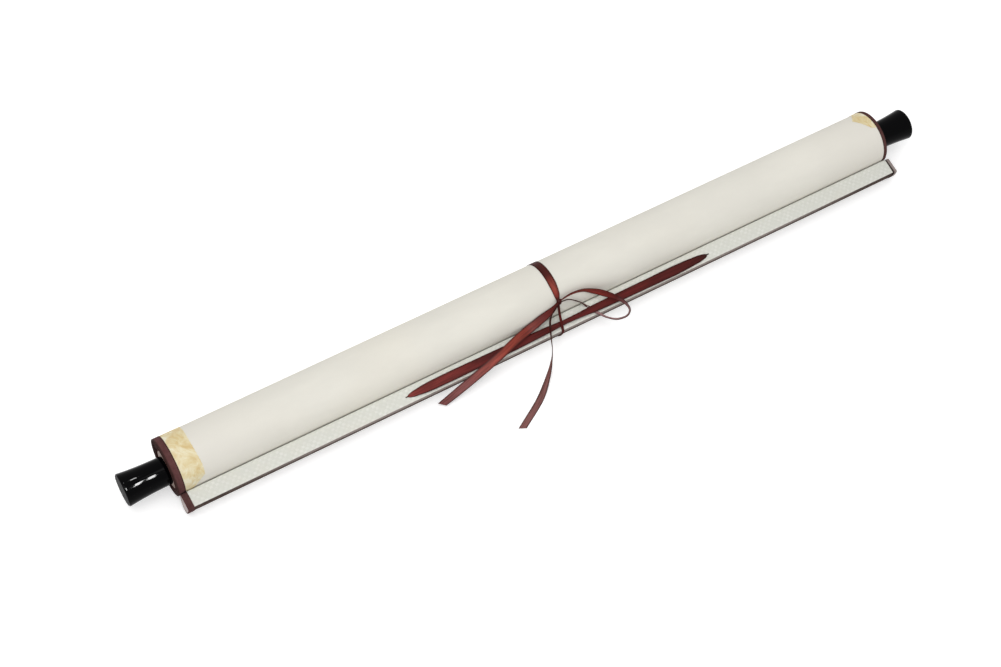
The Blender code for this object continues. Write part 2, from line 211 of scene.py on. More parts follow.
class Recipe:
    # the nodes of a material, or of the world
    def __init__(self, owner, shader, constants):
        owner.use_nodes = True
        self.owner = owner
        self.tree = owner.node_tree
        self.shader = self.tree.nodes[shader]
        for socket, value in constants.items():
            self.paint(socket, value)

    def node(self, kind, settings=None, sockets=None, out=0):
        made = self.tree.nodes.new("ShaderNode" + kind)
        for key, value in (settings or {}).items():
            if key == "stops":
                self.setStops(made.color_ramp, value)
            else:
                setattr(made, key, value)
        for key, value in (sockets or {}).items():
            self.feed(made.inputs[key], value)
        return Wire(self, made.outputs[out])

    def setStops(self, ramp, stops):
        while len(ramp.elements) < len(stops):
            ramp.elements.new(1.0)
        for element, (position, colour) in zip(ramp.elements, stops):
            element.position = position
            element.color = (*colour, 1.0)

    def feed(self, socket, value):
        if isinstance(value, Wire):
            self.tree.links.new(value.socket, socket)
        elif isinstance(value, tuple) and len(value) == 3 and socket.type == "RGBA":
            socket.default_value = (*value, 1.0)
        else:
            socket.default_value = value

    def paint(self, socket, value):
        self.feed(self.shader.inputs[socket], value)

    def coordinates(self, source, scale=(1, 1, 1), turn=(0, 0, 0), shift=(0, 0, 0)):
        # source is Object, in metres, or UV, which every sheet here has in metres too
        found = self.node("TexCoord", out={"Object": 3, "UV": 2}[source])
        sockets = {"Vector": found, "Location": shift, "Rotation": turn, "Scale": scale}
        return self.node("Mapping", None, sockets)

    def split(self, vector, axis):
        return self.node("SeparateXYZ", None, {0: vector}, axis)

    def noise(self, vector, scale, detail=3.0, roughness=0.5, distortion=0.0):
        sockets = {"Vector": vector, "Scale": scale, "Detail": detail}
        sockets.update({"Roughness": roughness, "Distortion": distortion})
        return self.node("TexNoise", None, sockets)

    def sine(self, value, period):
        return self.node("Math", {"operation": "SINE"}, {0: value * (math.tau / period)})

    def between(self, value, low, high, least=0.0, most=1.0):
        # eased from least at low to most at high
        sockets = {"Value": value, "From Min": low, "From Max": high}
        sockets.update({"To Min": least, "To Max": most})
        return self.node("MapRange", {"interpolation_type": "SMOOTHSTEP"}, sockets)

    def mix(self, share, first, second):
        return self.node("Mix", {"data_type": "RGBA"}, {0: share, 6: first, 7: second}, 2)

    def ramp(self, value, stops):
        return self.node("ValToRGB", {"stops": stops}, {0: value})

    def bump(self, height, distance, under=None):
        sockets = {"Height": height, "Distance": distance, "Strength": 1.0}
        if under is not None:
            sockets["Normal"] = under
        return self.node("Bump", None, sockets)


def newMaterial(name, colour, roughness, **constants):
    sockets = {"Base Color": colour, "Roughness": roughness}
    sockets.update({socket.replace("_", " "): value for socket, value in constants.items()})
    return Recipe(bpy.data.materials.new(name), "Principled BSDF", sockets)


def makePaper():
    paper = {
        "light": (0.815, 0.792, 0.715),
        "dark": (0.768, 0.746, 0.675),
        "warm": (0.80, 0.755, 0.65),
        "handled": (0.765, 0.735, 0.668),
        "handledFrom": (0.045, 0.095),  # it starts and is full at these values of x squared
        "fleck": (0.60, 0.55, 0.44),
        "fibre": 0.05 * mm,
        "ripple": 0.25 * mm,
    }
    made = newMaterial("backingPaper", paper["light"], 0.78, Specular_IOR_Level=0.15)
    cloud = made.noise(made.coordinates("Object", (1, 2.5, 2.5)), 14, 4, 0.55)
    tone = made.mix(made.between(cloud, 0.32, 0.68), paper["dark"], paper["light"])
    blush = made.noise(made.coordinates("Object", (1, 1, 1), shift=(3.1, 0, 0)), 9, 3)
    tone = made.mix(made.between(blush, 0.45, 0.75, 0, 0.35), tone, paper["warm"])
    fromMiddle = made.split(made.coordinates("Object"), 0)
    grubby = made.between(fromMiddle * fromMiddle, *paper["handledFrom"], 0, 0.75)
    tone = made.mix(grubby, tone, paper["handled"])
    fibres = made.noise(made.coordinates("Object", (160, 900, 900)), 1.0, 6, 0.65, 0.6)
    flecks = made.noise(made.coordinates("Object", (450, 2600, 2600), (0.2, 0.1, 0.4)), 1.0, 3)
    tone = made.mix(made.between(flecks, 0.62, 0.78, 0, 0.16), tone, paper["fleck"])
    made.paint("Base Color", tone)
    made.paint("Roughness", made.between(fibres, 0.3, 0.7, 0.62, 0.8))
    waves = made.noise(made.coordinates("Object", (6, 34, 34)), 1.0, 2, 0.45)
    rough = made.bump(fibres, paper["fibre"])
    made.paint("Normal", made.bump(waves, paper["ripple"], under=rough))
    return made.owner


cloth = {
    # each piece's colour, and what it is where worn; the right wrap's pale pair is painted sheen on its
    # top
    "leftBinding": ((0.105, 0.036, 0.036), (0.18, 0.075, 0.07)),
    "rightBinding": ((0.085, 0.03, 0.028), (0.14, 0.06, 0.055)),
    "leftWrap": ((0.085, 0.032, 0.03), (0.15, 0.07, 0.062)),
    # pale grey-brown: painted sheen where the wrap's top catches the light
    "rightWrap": ((0.30, 0.235, 0.215), (0.46, 0.41, 0.39)),
    "lathEdge": ((0.055, 0.03, 0.024), (0.14, 0.10, 0.08)),
    "thread": 0.42 * mm,
    "threadDepth": 0.06 * mm,
    "slubDepth": 0.08 * mm,
    "threadShade": 0.55,  # painted shade between the threads, as a share of the cloth's colour
    # the colour of the painted light on the edge cloth's corner
    "paintedLight": (0.43, 0.365, 0.335),
    "paintedLightAcross": (2.4 * mm, 3.8 * mm),  # from the cloth's edge, where the painted light along its corner ends
    "paintedLightAlong": (0.03, 0.09),  # the painted light fades out between these values of x squared
    # painted shade where the right wrap meets the facing
    "seam": (0.03, 0.018, 0.015),
    "seamShadeAt": 0.5 * mm,
    "seamShadeWidth": 1.4 * mm,
    # painted shade at a band's edges
    "edgeShade": (0.03, 0.014, 0.01),
}


def makeCloth(piece, paintedLight=False, seam=None, width=None):
    # a cloth given paintedLight is lightened along the corner where it begins, away from the lath's
    # ends: painted light where it lies in shade;
    # seam is the x where it has painted shade, as in a recess; one with a width has painted shade
    # toward both its edges
    colour, worn = cloth[piece]
    made = newMaterial(piece + "Cloth", colour, 0.85, Specular_IOR_Level=0.1)
    flat = made.coordinates("UV")
    along, across = made.split(flat, 0), made.split(flat, 1)
    weave = made.sine(along, cloth["thread"]) * made.sine(across, cloth["thread"])
    slubs = made.noise(made.coordinates("UV", (60, 1400, 1)), 1.0, 3, 0.6)
    patchy = made.noise(made.coordinates("Object"), 120, 4, 0.6)
    tone = made.mix(made.between(patchy, 0.35, 0.7, 0, 0.55), colour, worn)
    alongX = made.split(made.coordinates("Object"), 0)
    # painted light: paler along the corner where the cloth begins, away from the ends
    if paintedLight:
        corner = made.between(along, *cloth["paintedLightAcross"], 1, 0)
        pale = made.between(alongX * alongX, *cloth["paintedLightAlong"], 0.9, 0) * corner
        tone = made.mix(pale, tone, cloth["paintedLight"])
    # painted shade between the threads
    threadShade = tuple(cloth["threadShade"] * part for part in colour)
    tone = made.mix(made.between(weave, -0.8, 0.2, 0.5, 0), tone, threadShade)
    tone = made.mix(made.between(slubs, 0.58, 0.75, 0, 0.4), tone, worn)
    # painted shade from the seam x inward
    if seam:
        shade = made.between(alongX, seam, seam + cloth["seamShadeWidth"], 1, 0)
        tone = made.mix(shade, tone, cloth["seam"])
    # painted shade toward both edges of the band
    if width:
        off = across * (1 / width) - 0.5
        tone = made.mix(made.between(off * off, 0.06, 0.24, 0, 0.75), tone, cloth["edgeShade"])
    made.paint("Base Color", tone)
    made.paint("Roughness", made.between(slubs, 0.3, 0.7, 0.9, 0.72))
    threads = made.bump(weave, cloth["threadDepth"])
    made.paint("Normal", made.bump(slubs, cloth["slubDepth"], under=threads))
    return made.owner


def makeGoldSilk():
    gold = {
        "deep": (0.69, 0.51, 0.215),
        "mid": (0.775, 0.655, 0.365),
        "pale": (0.86, 0.81, 0.62),
        "thread": 0.3 * mm,
        "cloud": 11 * mm,
        "threadDepth": 0.03 * mm,
        "creaseDepth": 0.06 * mm,
    }
    made = newMaterial("goldSilk", gold["mid"], 0.5, Sheen_Weight=0.15)
    flat = made.coordinates("UV")
    curls = made.noise(made.coordinates("UV"), 1 / gold["cloud"], 4, 0.6, 1.3)
    tone = made.ramp(curls, [(0.34, gold["deep"]), (0.5, gold["mid"]), (0.66, gold["pale"])])
    across = made.sine(made.split(flat, 0), gold["thread"])
    along = made.sine(made.split(flat, 1), gold["thread"])
    weave = across * along
    tone = made.mix(made.between(weave, -1, 0, 0.25, 0), tone, gold["deep"])
    made.paint("Base Color", tone)
    made.paint("Roughness", made.between(curls, 0.35, 0.65, 0.62, 0.42))
    creased = made.bump(curls, gold["creaseDepth"])
    made.paint("Normal", made.bump(weave, gold["threadDepth"], under=creased))
    return made.owner


def makeDamask():
    damask = {
        "ground": (0.715, 0.72, 0.655),
        "figure": (0.80, 0.80, 0.745),
        "stain": (0.74, 0.70, 0.60),
        "cell": 4.6 * mm,
        "wobble": 1.2 * mm,
        "thread": 0.32 * mm,
        "threadDepth": 0.03 * mm,
        "figureDepth": 0.07 * mm,
    }
    made = newMaterial("damask", damask["ground"], 0.6, Specular_IOR_Level=0.3, Sheen_Weight=0.1)
    flat = made.coordinates("UV")
    wobble = made.noise(flat, 300, 2) * damask["wobble"]
    across = made.split(flat, 0) + wobble
    along = made.split(flat, 1) + wobble
    lozenges = made.sine(across, damask["cell"]) * made.sine(along, damask["cell"])
    rising = made.sine(across + along, damask["cell"] / 2)
    falling = made.sine(across - along, damask["cell"] / 2)
    figure = made.between(lozenges + 0.35 * rising * falling, -0.2, 0.45)
    worn = made.noise(made.coordinates("UV"), 160, 3, 0.6)
    figure = figure * made.between(worn, 0.35, 0.65, 0.1, 1)
    tone = made.mix(figure, damask["ground"], damask["figure"])
    stain = made.noise(made.coordinates("Object"), 26, 3)
    tone = made.mix(made.between(stain, 0.5, 0.75, 0, 0.3), tone, damask["stain"])
    made.paint("Base Color", tone)
    made.paint("Roughness", made.between(figure, 0, 1, 0.68, 0.45))
    weft = made.sine(made.split(flat, 0), damask["thread"])
    warp = made.sine(made.split(flat, 1), damask["thread"])
    ribbed = made.bump(weft * warp, damask["threadDepth"])
    made.paint("Normal", made.bump(figure, damask["figureDepth"], under=ribbed))
    return made.owner


def makeLacquer():
    lacquer = {
        "clean": (0.0012, 0.0012, 0.0015),
        "dusty": (0.006, 0.006, 0.006),
        "peel": 0.012 * mm,
    }
    made = newMaterial("blackLacquer", lacquer["clean"], 0.04, Specular_IOR_Level=0.04)
    dust = made.noise(made.coordinates("Object"), 900, 5, 0.65)
    tone = made.mix(made.between(dust, 0.62, 0.8, 0, 0.3), lacquer["clean"], lacquer["dusty"])
    made.paint("Base Color", tone)
    rubs = made.noise(made.coordinates("Object", (90, 1500, 1500)), 1.0, 4, 0.6)
    made.paint("Roughness", made.between(rubs, 0.35, 0.75, 0.02, 0.06))
    peel = made.noise(made.coordinates("Object"), 260, 2, 0.5)
    made.paint("Normal", made.bump(peel, lacquer["peel"]))
    return made.owner


def makeKnobEnd():
    knobEnd = {
        "dark": (0.014, 0.014, 0.015),
        "rubbed": (0.045, 0.045, 0.046),
        "grain": 0.04 * mm,
    }
    made = newMaterial("lacquerEnd", knobEnd["dark"], 0.5, Specular_IOR_Level=0.02)
    rubbed = made.noise(made.coordinates("Object"), 420, 5, 0.65)
    tone = made.mix(made.between(rubbed, 0.4, 0.72), knobEnd["dark"], knobEnd["rubbed"])
    made.paint("Base Color", tone)
    made.paint("Roughness", made.between(rubbed, 0.3, 0.7, 0.4, 0.6))
    made.paint("Normal", made.bump(rubbed, knobEnd["grain"]))
    return made.owner


wood = {
    # light and dark colour, and the way from one growth ring to the next
    "rod": ((0.47, 0.36, 0.31), (0.33, 0.24, 0.20), 1.6 * mm),
    "lath": ((0.60, 0.51, 0.49), (0.47, 0.39, 0.37), 1.8 * mm),
    "pores": 0.6,  # how dark they are, as a share of the dark colour
    "poreDepth": 0.05 * mm,
    "waver": (2.5, 1.5),  # how far the rings stray sideways and upward, in rings
}


def makeWood(piece, centre):
    # growth rings about a line along X, so an end face shows rings and a side shows grain
    light, dark, ring = wood[piece]
    made = newMaterial(piece + "Wood", light, 0.6, Specular_IOR_Level=0.3)
    place = made.coordinates("Object", shift=(0, -centre[0], -centre[1]))
    bend = made.noise(made.coordinates("Object", (4, 60, 60)), 1.0, 3, 0.5)
    side = made.split(place, 1) + (bend - 0.5) * (wood["waver"][0] * ring)
    rise = made.split(place, 2) + (bend - 0.5) * (wood["waver"][1] * ring)
    away = made.node("Math", {"operation": "SQRT"}, {0: side * side + rise * rise})
    rings = made.sine(away, ring)
    pores = made.noise(made.coordinates("Object", (120, 2400, 2400)), 1.0, 4, 0.7)
    tone = made.mix(made.between(rings, -0.6, 0.9), light, dark)
    poreColour = tuple(wood["pores"] * part for part in dark)
    tone = made.mix(made.between(pores, 0.55, 0.75, 0, 0.4), tone, poreColour)
    made.paint("Base Color", tone)
    made.paint("Roughness", made.between(pores, 0.3, 0.7, 0.5, 0.72))
    made.paint("Normal", made.bump(pores, wood["poreDepth"]))
    return made.owner


satin = {
    "threads": (0.012, 0.003, 0.003),
    # the colour of the painted shade in creases
    "folds": (0.025, 0.005, 0.004),
    "selvageAndShade": (0.03, 0.005, 0.004),
    "threadDepth": 0.04 * mm,
    "selvageDepth": 0.06 * mm,
}


def makeSatin(name, length, width, stops):
    # satin coloured unevenly along its length, by dye and by painted sheen and shade: stops are (share
    # of the length, colour)
    made = newMaterial(name, stops[0][1], 0.5, Specular_IOR_Level=0.06)
    flat = made.coordinates("UV")
    tone = made.ramp(made.split(flat, 0) * (1 / length), stops)
    threads = made.noise(made.coordinates("UV", (90, 3600, 1)), 1.0, 3, 0.6)
    tone = made.mix(made.between(threads, 0.32, 0.6, 0.45, 0), tone, satin["threads"])
    # long dark streaks: painted shade in creases along the ribbon
    folds = made.noise(made.coordinates("UV", (35, 620, 1)), 1.0, 2, 0.5)
    tone = made.mix(made.between(folds, 0.35, 0.6, 0.4, 0), tone, satin["folds"])
    # darker toward both edges: a woven selvage, and painted shade where the edges curl
    off = made.split(flat, 1) * (1 / width) - 0.5
    selvageAndShade = made.between(off * off, 0.05, 0.23)
    tone = made.mix(selvageAndShade * 0.85, tone, satin["selvageAndShade"])
    made.paint("Base Color", tone)
    made.paint("Roughness", made.between(threads, 0.3, 0.7, 0.58, 0.42))
    fine = made.bump(threads, satin["threadDepth"])
    made.paint("Normal", made.bump(selvageAndShade, satin["selvageDepth"], under=fine))
    return made.owner


# Making pieces


def addPiece(name, maker):
    mesh = bpy.data.meshes.new(name)
    maker.to_mesh(mesh)
    maker.free()
    piece = bpy.data.objects.new(name, mesh)
    bpy.context.scene.collection.objects.link(piece)
    return piece


def settle(piece, material, nodes=(), sharp=40):
    # bakes the modifiers into the mesh, smooths it, and ties it to the frame
    graph = bpy.context.evaluated_depsgraph_get()
    mesh = bpy.data.meshes.new_from_object(piece.evaluated_get(graph))
    piece.modifiers.clear()
    piece.data = mesh
    mesh.name = piece.name
    mesh.materials.clear()
    mesh.materials.append(material)
    mesh.shade_smooth()
    mesh.set_sharp_from_angle(angle=math.radians(sharp))
    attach(piece, "root")
    if nodes:
        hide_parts(*nodes)
    return piece


def sheetPiece(name, travelled, across, width, place, thickness=0.0, edge=0.0, closed=False):
    # a grid laid where place(step, v) says, step counting along it and v going from 0 to 1
    # across; its UV map is in metres: the way travelled at each step, and the width
    maker = bmesh.new()
    layerUv = maker.loops.layers.uv.new("UVMap")
    last = len(travelled) - 1
    bmesh.ops.create_grid(maker, x_segments=last, y_segments=across, size=0.5)
    for face in maker.faces:
        for loop in face.loops:
            step, v = round((loop.vert.co.x + 0.5) * last), loop.vert.co.y + 0.5
            loop[layerUv].uv = (travelled[step], v * width)
    for vert in maker.verts:
        vert.co = place(round((vert.co.x + 0.5) * last), vert.co.y + 0.5)
    if closed:
        bmesh.ops.remove_doubles(maker, verts=maker.verts, dist=1e-6)
    piece = addPiece(name, maker)
    if thickness:
        solid = piece.modifiers.new("thickness", "SOLIDIFY")
        solid.thickness = thickness
        solid.offset = 0.0
        solid.use_even_offset = True
    if edge:
        bevel = piece.modifiers.new("edge", "BEVEL")
        bevel.width = edge
        bevel.segments = 2
        bevel.limit_method = "ANGLE"
        bevel.angle_limit = math.radians(60)
    return piece


def travelledAlong(points):
    travelled = [0.0]
    for behind, ahead in zip(points, points[1:]):
        travelled.append(travelled[-1] + (ahead - behind).length)
    return travelled


def sectionPiece(name, section, xFrom, xTo, thickness, edge=0.0, closed=False, drift=None):
    # a sheet whose middle follows a (y, z) section about the roll's middle, from xFrom to xTo
    points = section + section[:1] if closed else section

    def place(step, v):
        shift = drift(step) if drift else 0.0
        return middle + Vector((xFrom + (xTo - xFrom) * v + shift, *points[step]))

    return sheetPiece(
        name, travelledAlong(points), 2, xTo - xFrom, place, thickness, edge, closed
    )


def turned(name, profile, centre, segments=96):
    # a solid of revolution about a line along X through centre; the profile is (x, radius)
    maker = bmesh.new()
    points = [maker.verts.new((x, centre.y, centre.z + radius)) for x, radius in profile]
    edges = [maker.edges.new(pair) for pair in zip(points, points[1:])]
    bmesh.ops.spin(
        maker,
        geom=points + edges,
        cent=(0, centre.y, centre.z),
        axis=(1, 0, 0),
        angle=math.tau,
        steps=segments,
        use_merge=True,
    )
    bmesh.ops.remove_doubles(maker, verts=maker.verts, dist=1e-6)
    bmesh.ops.recalc_face_normals(maker, faces=maker.faces)
    return addPiece(name, maker)


# Paper, wound on the rod, with the cloth that binds its two side edges


def edgeDrift(i):
    turnedBy = i * math.tau / roll["segments"]
    share = turnedBy / (roll["turns"] * math.tau)
    return roll["drift"] * min(1.0, 3 * share) * math.sin(0.42 * turnedBy)


def makeRoll():
    wound = woundSection(roll["radius"], roll["paper"], roll["turns"], roll["segments"])
    out = lath["gap"] + roll["paper"] / 2
    steps = roll["flapSteps"]
    pasted = backArc(*roll["flap"], out, steps)
    span = [wound[0].lerp(pasted[0], step / steps) for step in range(1, steps)]
    flap = pasted[::-1] + span[::-1]
    low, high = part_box("mount_sheet")
    paper = sectionPiece(
        "paperRoll",
        flap + wound,
        low.x - roll["closer"],
        high.x + roll["closer"],
        roll["paper"],
        drift=lambda i: edgeDrift(max(0, i - len(flap))),
    )
    settle(paper, makePaper(), ["mount_sheet"])
    section = woundSection(bindingRadius, roll["binding"], roll["turns"], roll["segments"])
    for side in ("left", "right"):
        node = side + "_edge_binding"
        low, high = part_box(node)
        binding = sectionPiece(
            side + "Binding",
            section,
            low.x,
            high.x,
            roll["binding"],
            roll["bindingEdge"],
            drift=edgeDrift,
        )
        material = makeCloth(side + "Binding", width=high.x - low.x)
        settle(binding, material, [node])
    print("roll wound")


patches = {
    # degrees about the roll, and the width there in mm
    "left": [
        (18, 15.2),
        (60, 15.4),
        (100, 15.1),
        (125, 15.7),
        (150, 16.5),
        (168, 16.0),
        (182, 10.2),
        (199, 5),
    ],
    "right": [(18, 4.0), (48, 6.5), (73, 13.0), (90, 8.6), (106, 4.5), (111, 0.8)],
    "thickness": 0.14 * mm,
    "lift": 0.06 * mm,
    "fray": 0.12 * mm,
    "steps": 150,
    "across": 8,
}


def makePatch(side, material):
    node = side + "_gold_patch"
    low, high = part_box(node)
    fixed, direction = (low.x, 1) if side == "left" else (high.x, -1)
    angles, widths = zip(*patches[side])
    first, last = angles[0], angles[-1]
    thickness, steps = patches["thickness"], patches["steps"]
    outer = roll["radius"] + patches["lift"] + thickness

    def place(step, v):
        angle = first + (last - first) * step / steps
        width = float(np.interp(angle, angles, widths)) * mm
        frayed = patches["fray"] * (math.sin(0.83 * angle) + 0.6 * math.sin(2.1 * angle + 1))
        y, z = woundPoint(math.radians(angle) + math.pi / 2, outer, thickness)
        return middle + Vector((fixed + direction * v * (width + frayed), y, z))

    travelled = [math.radians(last - first) * outer * step / steps for step in range(steps + 1)]
    wide = max(widths) * mm
    patch = sheetPiece(side + "GoldPatch", travelled, patches["across"], wide, place, thickness)
    settle(patch, material, [node])


# The rod and its lacquered knobs

rodShape = {
    "edge": 0.4 * mm,
    "bore": 5.7 * mm,
    "boreDepth": 16.0 * mm,
    "setBack": 0.8 * mm,  # how far the rod's ends lie inside the roll's
}
knob = {
    "radius": 12.6 * mm,
    "neck": 10.8 * mm,
    "flare": 2.2,
    "flareSteps": 28,
    "edge": 1.0 * mm,
    "spigot": 5.5 * mm,
    "gap": 0.2 * mm,  # between the rod's end and the knob's foot
    "foot": 0.3 * mm,  # its bevelled rim
}


def makeRod():
    low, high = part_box("roller_rod")
    centre = (low + high) / 2
    radius = (high.z - low.z) / 2
    end, bore = rightEnd - rodShape["setBack"], rodShape["bore"]
    half = [(0, radius)]
    for step in range(5):
        turn = math.pi / 2 * step / 4
        x = end - rodShape["edge"] * (1 - math.sin(turn))
        half.append((x, radius - rodShape["edge"] * (1 - math.cos(turn))))
    half += [(end, bore), (end - rodShape["boreDepth"], bore), (end - rodShape["boreDepth"], 0)]
    profile = [(-x, r) for x, r in half[:0:-1]] + half[1:]
    material = makeWood("rod", centre.yz)
    settle(turned("rollerRod", profile, centre), material, ["roller_rod"])


def makeKnob(side, material, endMaterial):
    node = side + "_knob"
    low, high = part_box(node)
    centre = (low + high) / 2
    sign = -1 if side == "left" else 1
    tip = max(abs(low.x), abs(high.x))
    inner = min(abs(low.x), abs(high.x))
    foot = rightEnd - rodShape["setBack"] + knob["gap"]
    start = foot + knob["foot"]
    profile = [(inner, 0), (inner, knob["spigot"]), (foot, knob["spigot"])]
    profile += [(foot, knob["neck"] - knob["foot"]), (start, knob["neck"])]
    for step in range(1, knob["flareSteps"] + 1):
        share = step / knob["flareSteps"]
        flared = (knob["radius"] - knob["neck"]) * share ** knob["flare"]
        profile.append((start + (tip - knob["edge"] - start) * share, knob["neck"] + flared))
    for step in range(1, 9):
        turn = math.pi / 2 * step / 8
        x = tip - knob["edge"] * (1 - math.sin(turn))
        profile.append((x, knob["radius"] - knob["edge"] * (1 - math.cos(turn))))
    profile.append((tip, 0))
    piece = turned(side + "Knob", [(sign * x, r) for x, r in profile], centre, 128)
    settle(piece, material, [node], 50)
    piece.data.materials.append(endMaterial)
    for face in piece.data.polygons:
        if abs(face.center.x) > tip - knob["edge"] / 100:
            face.material_index = 1
    print(side, "knob turned")


# The lath with its damask facing, its edge cloth and the wraps on its ends


def makeLath():
    low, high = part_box("lath_core")
    maker = bmesh.new()
    corners = [maker.verts.new(middle + Vector((low.x, *point))) for point in lathOutline(0)]
    face = maker.faces.new(corners)
    pushed = bmesh.ops.extrude_face_region(maker, geom=[face])["geom"]
    moved = [item for item in pushed if isinstance(item, bmesh.types.BMVert)]
    bmesh.ops.translate(maker, verts=moved, vec=(high.x - low.x, 0, 0))
    bmesh.ops.recalc_face_normals(maker, faces=maker.faces)
    lathWood = makeWood("lath", middle.yz + inLath(*lath["treeMiddle"]))
    settle(addPiece("lathCore", maker), lathWood, ["lath_core"])

    out = lath["gap"] + lath["cloth"] / 2
    front = cornerArc(-1, out, 16)
    facing = front[lath["seam"] - 1 :: -1] + cornerArc(1, out + lath["proud"])
    facing.append(inLath(lath["half"] + out + lath["proud"], lath["shoulder"]))
    low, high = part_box("lath_facing")
    piece = sectionPiece("lathFacing", facing, low.x, high.x, lath["cloth"], lath["clothEdge"])
    settle(piece, makeDamask(), ["lath_facing"])

    edge = front[lath["seam"] :] + backArc(math.pi, lath["edgeClothTo"], out, 10)
    low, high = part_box("lath_edge_cloth")
    piece = sectionPiece("lathEdgeCloth", edge, low.x, high.x, lath["cloth"], lath["clothEdge"])
    # its front corner gets painted light
    settle(piece, makeCloth("lathEdge", paintedLight=True), ["lath_edge_cloth"])

    sleeve = lathOutline(lath["gap"] + lath["wrap"] / 2)
    for side in ("left", "right"):
        node = side + "_lath_wrap"
        low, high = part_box(node)
        piece = sectionPiece(
            side + "LathWrap", sleeve, low.x, high.x, lath["wrap"], lath["wrapEdge"], closed=True
        )
        # the right wrap has painted shade at its inner end
        seam = low.x + cloth["seamShadeAt"] if side == "right" else None
        settle(piece, makeCloth(side + "Wrap", seam=seam), [node])
    print("lath dressed")


# The ribbons. A row is a point (x, y, z) in mm about the roll's middle, how far the ribbon is
# turned about its own length from facing forward and up, and its width as a share of the whole.

ribbons = {
    "width": 6.6 * mm,
    "thickness": 0.2 * mm,
    "gap": 0.1 * mm,
    "across": 10,
    "pleatDepth": 0.55 * mm,
    "cutReach": 12 * mm,  # how far from a cut end its slant is felt
    "pathPoints": 32,
    "facing": Vector((-0.31, -0.52, 0.79)),
    "tailLeft": [
        (3.3, -21.9, 10.5, 60, 0.4),
        (-3.8, -23.3, 6.9, 38, 0.95),
        (-14.2, -24.4, 3.3, 10, 1.1),
        (-24.7, -25.6, -0.5, 0, 1.05),
        (-36.4, -28.3, -1.4, 0, 0.97),
        (-60.3, -35.2, -4.0, 0, 0.95),
        (-88.0, -38.3, -13.0, 5, 0.95),
        (-109.0, -39.8, -20.6, 10, 0.8),
    ],
    "tailFront": [
        (2.7, -22.1, 9.7, 60, 0.35),
        (-3.8, -24.9, 6.8, 70, 0.5),
        (-8.1, -27.7, 3.0, 75, 0.7),
        (-10.9, -31.8, -1.0, 78, 0.85),
        (-14.2, -38.9, -5.0, 82, 0.8),
        (-16.9, -45.2, -11.0, 88, 0.75),
        (-21.0, -50.6, -15.5, 75, 0.72),
        (-29.2, -59.1, -19.5, 45, 0.72),
        (-44.4, -72.4, -21.7, 8, 0.8),
        (-68.6, -87.7, -22.3, 0, 0.8),
    ],
    "loop": [
        (2.9, -22.2, 11.2, 75, 0.35),
        (13.5, -21.5, 12.0, 66, 0.5),
        (23.5, -22.5, 11.0, 60, 0.65),
        (31.8, -25.1, 7.5, 46, 0.86),
        (39.0, -28.2, 3.5, 33, 0.82),
        (45.1, -32.8, 0.5, 25, 0.66),
        (49.8, -38.9, -1.5, 45, 0.54),
        (50.6, -46.3, -3.0, 66, 0.5),
        (46.2, -49.9, -4.5, 70, 0.55),
        (38.9, -48.2, -5.8, 66, 0.55),
        (33.2, -42.5, -6.4, 62, 0.45),
        (30.0, -35.0, -7.2, 40, 0.42),
        (27.5, -28.8, -7.8, 30, 0.42),
        (25.3, -25.5, -6.0, 45, 0.36),
        (21.1, -23.8, -1.0, 75, 0.3),
        (15.3, -23.6, 5.0, 76, 0.3),
        (10.0, -23.0, 8.8, 76, 0.3),
        (3.1, -22.3, 9.2, 75, 0.28),
    ],
    # the turn round roll and lath: angle about the roll's middle, x in mm, share of the width
    "turn": [
        (0, 3.0, 0.98),
        (120, 3.3, 0.96),
        (142, 3.3, 0.76),
        (155, 2.9, 0.38),
        (165, 1.6, 0.32),
        (180, 0.2, 0.3),
        (196, -1.2, 0.32),
        (240, -1.6, 0.32),
        (256, -0.6, 0.8),
        (275, 0.8, 0.98),
        (310, 3.0, 0.98),
        (360, 3.0, 0.98),
    ],
    # the hanging ribbon: share of its length, width in mm, how far it lies forward of the
    # middle of the lath's face in mm; its ends are stitched down with a little thread
    "hanger": [
        (0, 0.5, 0.6),
        (0.007, 0.7, 0.6),
        (0.012, 2.8, 0.65),
        (0.024, 4.6, 0.7),
        (0.06, 6.9, 0.85),
        (0.09, 7.7, 0.95),
        (0.15, 7.9, 1.05),
        (0.22, 7.5, 1.1),
        (0.35, 6.9, 1.2),
        (0.45, 5.4, 1.2),
        (0.505, 3.8, 1.2),
        (0.55, 4.2, 1.3),
        (0.61, 6.1, 1.5),
        (0.7, 7.0, 1.7),
        (0.8, 7.3, 1.8),
        (0.88, 7.9, 1.8),
        (0.92, 7.1, 1.6),
        (0.965, 5.6, 1.4),
        (0.984, 3.9, 1.3),
        (0.991, 2.3, 1.2),
        (0.994, 0.7, 1.1),
        (1, 0.5, 1.1),
    ],
    "hangerFrom": -133.4 * mm,
    "hangerTo": 134.3 * mm,
    "hangerRise": 1.5 * mm,
    "hangerSteps": 180,
    "turnStep": 1.5 * mm,
    "turnSlack": 0.02 * mm,
    "knotMiddle": Vector((2.9, -21.9, 10.0)) * mm,
    "knotSize": Vector((3.9, 3.2, 5.2)) * mm,
    "knotLean": math.radians(-25),
}

# ribbon colours: besides dye, the lighter ones carry painted sheen and the darkest painted shade
dark, maroon, brick = (0.07, 0.012, 0.010), (0.18, 0.021, 0.017), (0.39, 0.062, 0.040)
rose, dusty, pale = (0.27, 0.085, 0.08), (0.28, 0.12, 0.11), (0.44, 0.26, 0.26)
thread = (0.03, 0.014, 0.012)
